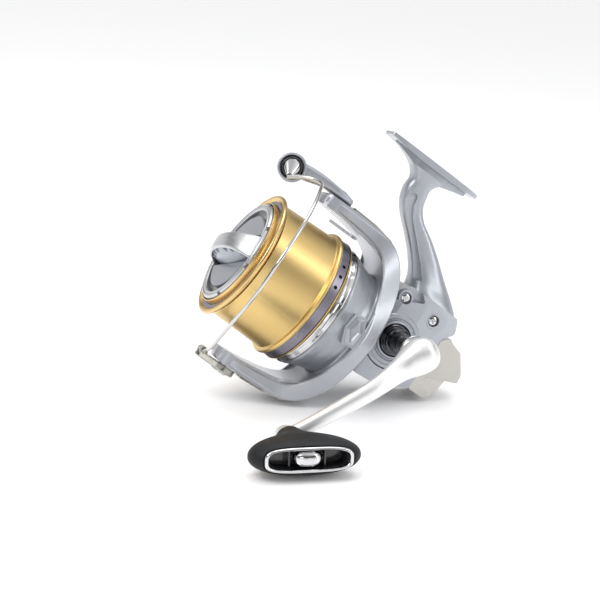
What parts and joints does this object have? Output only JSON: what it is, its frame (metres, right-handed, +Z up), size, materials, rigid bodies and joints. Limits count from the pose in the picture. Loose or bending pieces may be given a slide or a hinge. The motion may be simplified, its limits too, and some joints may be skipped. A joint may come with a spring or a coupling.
{
  "type": "spinning fishing reel",
  "caption": "Long-cast spinning reel with a wide tapered spool, front drag knob, wire bail on a two-armed rotor, side crank with a T-shaped knob, and a foot for a rod seat.",
  "frame": {"origin": "centre of the bounding box, on the flat surface that the reel lies on", "axes": "+Z up from that surface; -X is the level direction nearest to the reel's nose, and -Y is the side the crank is on"},
  "size_m": [0.1642, 0.1718, 0.1551],
  "materials": {
    "paint": "satin",
    "paint_dark": "satin",
    "beige": "satin",
    "gold": "satin",
    "lilac": "satin",
    "satin": "satin",
    "nickel": "polished",
    "chrome": "polished",
    "dark_chrome": "polished",
    "steel": "satin",
    "bronze": "satin",
    "brass": "satin",
    "rubber": "matte",
    "black": "gloss",
    "felt": "matte"
  },
  "bodies": {
    "body": {"body_frame": "paint", "side_cover": "paint", "side_cover_screw_front": "chrome", "side_cover_screw_rear": "chrome", "side_cover_screw_lower": "chrome", "rear_cover": "beige", "rear_cover_screw": "chrome", "crank_bearing_near": "steel", "crank_bearing_far": "steel", "crank_collar": "dark_chrome", "far_side_cap": "dark_chrome", "pinion_bearing": "steel", "roller_clutch": "steel", "friction_ring": "rubber", "slider_guide_rod": "steel"},
    "crank": {"drive_gear": "bronze", "crank_hub": "dark_chrome", "crank_arm": "satin", "knob_shaft": "steel"},
    "knob": {"knob_grip": "rubber", "knob_bezel": "chrome", "knob_bush": "brass", "knob_cap": "chrome"},
    "rotor": {"pinion": "brass", "clutch_sleeve": "steel", "rotor": "paint", "rotor_panel_near": "nickel", "rotor_panel_far": "nickel", "rotor_collar": "chrome", "rotor_nut": "chrome", "arm_cover_upper": "nickel", "arm_cover_lower": "nickel", "bail_spring": "steel", "balance_weight": "brass", "bail_pivot_screw_upper": "chrome", "bail_pivot_screw_lower": "chrome"},
    "worm": {"worm_shaft": "brass"},
    "bail": {"bail_arm": "paint", "roller_screw": "chrome", "bail_holder": "nickel", "bail_wire": "chrome"},
    "line_roller": {"line_roller": "black"},
    "trip_lever": {"bail_trip_lever": "steel"},
    "shaft": {"main_shaft": "steel", "slider_block": "nickel", "slider_screw": "chrome", "spool_seat": "black", "drag_washer_keyed": "steel"},
    "spool": {"spool": "gold", "spool_lip_ring": "gold", "spool_skirt": "lilac", "skirt_trim_ring": "gold", "spool_bush": "brass", "drag_washer_eared": "steel", "drag_washer_felt": "felt", "washer_retainer": "steel"},
    "drag_knob": {"drag_knob_disc": "paint_dark", "drag_knob_bridge": "paint", "drag_nut": "brass"}
  },
  "joints": [
    {"name": "crank_turn", "type": "hinge", "parent": "body", "child": "crank", "pos_m": [0.0325, 0.00739, 0.04213], "axis": [0.0742, -0.991, 0.1116], "continuous": true},
    {"name": "knob_turn", "type": "hinge", "parent": "crank", "child": "knob", "pos_m": [-0.0432, -0.04056, 0.00731], "axis": [0.0742, -0.991, 0.1116], "continuous": true},
    {"name": "rotor_turn", "type": "hinge", "parent": "body", "child": "rotor", "pos_m": [-0.0041, 0.04572, 0.04849], "axis": [-0.8327, 0, 0.5537], "continuous": true},
    {"name": "worm_turn", "type": "hinge", "parent": "body", "child": "worm", "pos_m": [0.02862, 0.05415, 0.02186], "axis": [-0.8327, 0, 0.5537], "continuous": true},
    {"name": "bail_swing", "type": "hinge", "parent": "rotor", "child": "bail", "pos_m": [-0.03408, 0.04572, 0.06842], "axis": [-0.5487, -0.1341, -0.8252], "range_deg": [0, 100]},
    {"name": "line_roller_turn", "type": "hinge", "parent": "bail", "child": "line_roller", "pos_m": [-0.03025, 0.05319, 0.13216], "axis": [-0.215, -0.9312, 0.2943], "continuous": true},
    {"name": "trip_lever_swing", "type": "hinge", "parent": "rotor", "child": "trip_lever", "pos_m": [0.00699, 0.05169, 0.09407], "axis": [-0.5487, -0.1341, -0.8252], "range_deg": [0, 12.1]},
    {"name": "shaft_slide", "type": "slide", "parent": "body", "child": "shaft", "axis": [-0.8327, 0, 0.5537], "range_m": [0, 0.032]},
    {"name": "spool_turn", "type": "hinge", "parent": "shaft", "child": "spool", "pos_m": [-0.03908, 0.04572, 0.07175], "axis": [-0.8327, 0, 0.5537], "continuous": true},
    {"name": "drag_knob_turn", "type": "hinge", "parent": "shaft", "child": "drag_knob", "pos_m": [-0.0574, 0.04572, 0.08393], "axis": [-0.8327, 0, 0.5537], "range_deg": [0, 300]}
  ],
  "couplings": [
    {"joint": "rotor_turn", "follows": "crank_turn", "ratio": -4.3},
    {"joint": "worm_turn", "follows": "crank_turn", "ratio": 3.3077},
    {"joint": "trip_lever_swing", "follows": "bail_swing", "ratio": 0.12}
  ]
}
